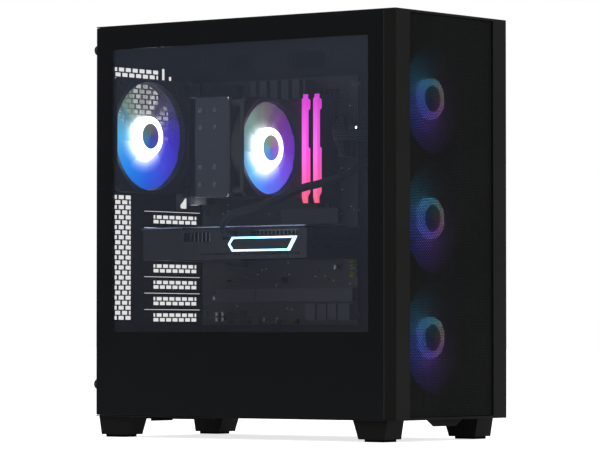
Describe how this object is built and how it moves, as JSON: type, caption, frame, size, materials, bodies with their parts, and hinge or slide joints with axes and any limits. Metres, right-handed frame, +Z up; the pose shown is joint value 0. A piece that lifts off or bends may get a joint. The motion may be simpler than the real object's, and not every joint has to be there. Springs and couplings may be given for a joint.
{
  "type": "desktop computer tower",
  "caption": "Mid-size desktop computer tower: steel case with a glass side, mesh front, lit fans, board, cooler, memory, graphics card and power supply.",
  "frame": {"origin": "on the floor under the middle of the bounding box", "axes": "+Z up, the front faces -Y, the glass side faces -X"},
  "size_m": [0.225, 0.46, 0.5],
  "materials": {
    "case_steel": "fine matt powder coat",
    "mesh_steel": "matt powder-coated perforated sheet",
    "case_plastic": "fine grained moulding",
    "button": "satin cap",
    "pad_rubber": "soft matt",
    "screw_steel": "bright zinc",
    "thumbscrew_black": "black oxide",
    "side_glass": "smoked tempered glass",
    "fan_plastic": "moulded frame",
    "fan_blade": "translucent frosted blades",
    "dark_blade": "black blades",
    "board_resin": "solder mask",
    "port_metal": "bright shells",
    "dark_aluminium": "anodised",
    "bare_aluminium": "mill finish",
    "fin_aluminium": "thin fins",
    "nickel": "nickel plate",
    "socket_plastic": "connector mouldings",
    "board_parts": "chokes, capacitors and headers",
    "memory_shell": "anodised shells",
    "memory_light": "frosted diffuser",
    "card_plastic": "textured moulding",
    "card_plate": "satin sheet",
    "card_light": "glowing diffuser",
    "cable_sleeve": "braided sleeve"
  },
  "bodies": {
    "case": {"rear_panel": "case_steel", "motherboard_tray": "case_steel", "top_panel": "case_steel", "bottom_pan": "case_steel", "front_frame": "case_steel", "psu_shroud": "case_steel", "slot_covers": "case_steel", "case_screws": "screw_steel", "drive_cage": "case_steel", "feet": "case_plastic", "foot_pads": "pad_rubber", "top_ports": "case_plastic", "front_fan_frames": "fan_plastic", "rear_fan_frame": "fan_plastic", "psu_case": "case_steel", "psu_inlet": "case_plastic", "motherboard": "board_resin", "rear_ports": "port_metal", "board_heatsinks": "dark_aluminium", "processor": "nickel", "board_sockets": "socket_plastic", "board_parts": "board_parts", "memory_modules": "memory_shell", "memory_light_bars": "memory_light", "cooler_base": "nickel", "cooler_fins": "fin_aluminium", "cooler_cover": "dark_aluminium", "cooler_fan_frame": "fan_plastic", "card_board": "board_resin", "card_heatsink": "bare_aluminium", "card_shroud": "card_plastic", "card_backplate": "card_plate", "card_bracket": "case_steel", "card_light_frame": "card_light", "card_cable": "cable_sleeve", "board_cable": "cable_sleeve"},
    "window": {"window_glass": "side_glass", "window_frame": "case_steel", "window_thumbscrews": "thumbscrew_black"},
    "right_side": {"right_panel": "case_steel", "right_thumbscrews": "thumbscrew_black"},
    "front": {"front_cover": "case_plastic", "cover_clips": "case_plastic", "front_mesh": "mesh_steel"},
    "top_filter": {"top_filter": "case_plastic"},
    "psu_filter": {"psu_filter": "case_plastic"},
    "power_button": {"power_button": "button"},
    "psu_switch": {"psu_switch": "case_plastic"},
    "front_rotor_top": {"front_rotor_top": "fan_blade"},
    "front_rotor_middle": {"front_rotor_middle": "fan_blade"},
    "front_rotor_bottom": {"front_rotor_bottom": "fan_blade"},
    "rear_rotor": {"rear_rotor": "fan_blade"},
    "cooler_rotor": {"cooler_rotor": "fan_blade"},
    "card_rotor_rear": {"card_rotor_rear": "dark_blade"},
    "card_rotor_front": {"card_rotor_front": "dark_blade"},
    "psu_rotor": {"psu_rotor": "dark_blade"},
    "memory_latch_1": {"memory_latch_1": "socket_plastic"},
    "memory_latch_2": {"memory_latch_2": "socket_plastic"},
    "memory_latch_3": {"memory_latch_3": "socket_plastic"},
    "memory_latch_4": {"memory_latch_4": "socket_plastic"}
  },
  "joints": [
    {"name": "window_slide", "type": "slide", "parent": "case", "child": "window", "axis": [0, 1, 0], "range_m": [0, 0.435]},
    {"name": "right_side_slide", "type": "slide", "parent": "case", "child": "right_side", "axis": [0, 1, 0], "range_m": [0, 0.435]},
    {"name": "front_cover_pull", "type": "slide", "parent": "case", "child": "front", "axis": [0, -1, 0], "range_m": [0, 0.03]},
    {"name": "top_filter_lift", "type": "slide", "parent": "case", "child": "top_filter", "axis": [0, 0, 1], "range_m": [0, 0.03]},
    {"name": "psu_filter_slide", "type": "slide", "parent": "case", "child": "psu_filter", "axis": [0, 1, 0], "range_m": [0, 0.13]},
    {"name": "power_button_press", "type": "slide", "parent": "case", "child": "power_button", "axis": [0, 0, -1], "range_m": [0, 0.0015], "stiffness_N_per_m": 600, "springref_m": -0.0005},
    {"name": "psu_switch_rock", "type": "hinge", "parent": "case", "child": "psu_switch", "pos_m": [-0.006, 0.219, 0.08], "axis": [1, 0, 0], "range_deg": [-14, 0]},
    {"name": "front_fan_bottom_spin", "type": "hinge", "parent": "case", "child": "front_rotor_bottom", "pos_m": [0, -0.195, 0.1205], "axis": [0, 1, 0], "continuous": true},
    {"name": "front_fan_middle_spin", "type": "hinge", "parent": "case", "child": "front_rotor_middle", "pos_m": [0, -0.195, 0.261], "axis": [0, 1, 0], "continuous": true},
    {"name": "front_fan_top_spin", "type": "hinge", "parent": "case", "child": "front_rotor_top", "pos_m": [0, -0.195, 0.4015], "axis": [0, 1, 0], "continuous": true},
    {"name": "rear_fan_spin", "type": "hinge", "parent": "case", "child": "rear_rotor", "pos_m": [-0.0357, 0.207, 0.369], "axis": [0, 1, 0], "continuous": true},
    {"name": "cooler_fan_spin", "type": "hinge", "parent": "case", "child": "cooler_rotor", "pos_m": [-0.017, 0.0328, 0.35], "axis": [0, 1, 0], "continuous": true},
    {"name": "card_fan_rear_spin", "type": "hinge", "parent": "case", "child": "card_rotor_rear", "pos_m": [0.0145, 0.155, 0.2217], "axis": [0, 0, 1], "continuous": true},
    {"name": "card_fan_front_spin", "type": "hinge", "parent": "case", "child": "card_rotor_front", "pos_m": [0.0145, 0.051, 0.2217], "axis": [0, 0, 1], "continuous": true},
    {"name": "psu_fan_spin", "type": "hinge", "parent": "case", "child": "psu_rotor", "pos_m": [0.007, 0.15, 0.039], "axis": [0, 0, 1], "continuous": true},
    {"name": "memory_latch_1_open", "type": "hinge", "parent": "case", "child": "memory_latch_1", "pos_m": [0.077, 0.026, 0.421], "axis": [0, 1, 0], "range_deg": [0, 25]},
    {"name": "memory_latch_2_open", "type": "hinge", "parent": "case", "child": "memory_latch_2", "pos_m": [0.077, 0.0173, 0.421], "axis": [0, 1, 0], "range_deg": [0, 25]},
    {"name": "memory_latch_3_open", "type": "hinge", "parent": "case", "child": "memory_latch_3", "pos_m": [0.077, 0.0086, 0.421], "axis": [0, 1, 0], "range_deg": [0, 25]},
    {"name": "memory_latch_4_open", "type": "hinge", "parent": "case", "child": "memory_latch_4", "pos_m": [0.077, -0.0001, 0.421], "axis": [0, 1, 0], "range_deg": [0, 25]}
  ]
}
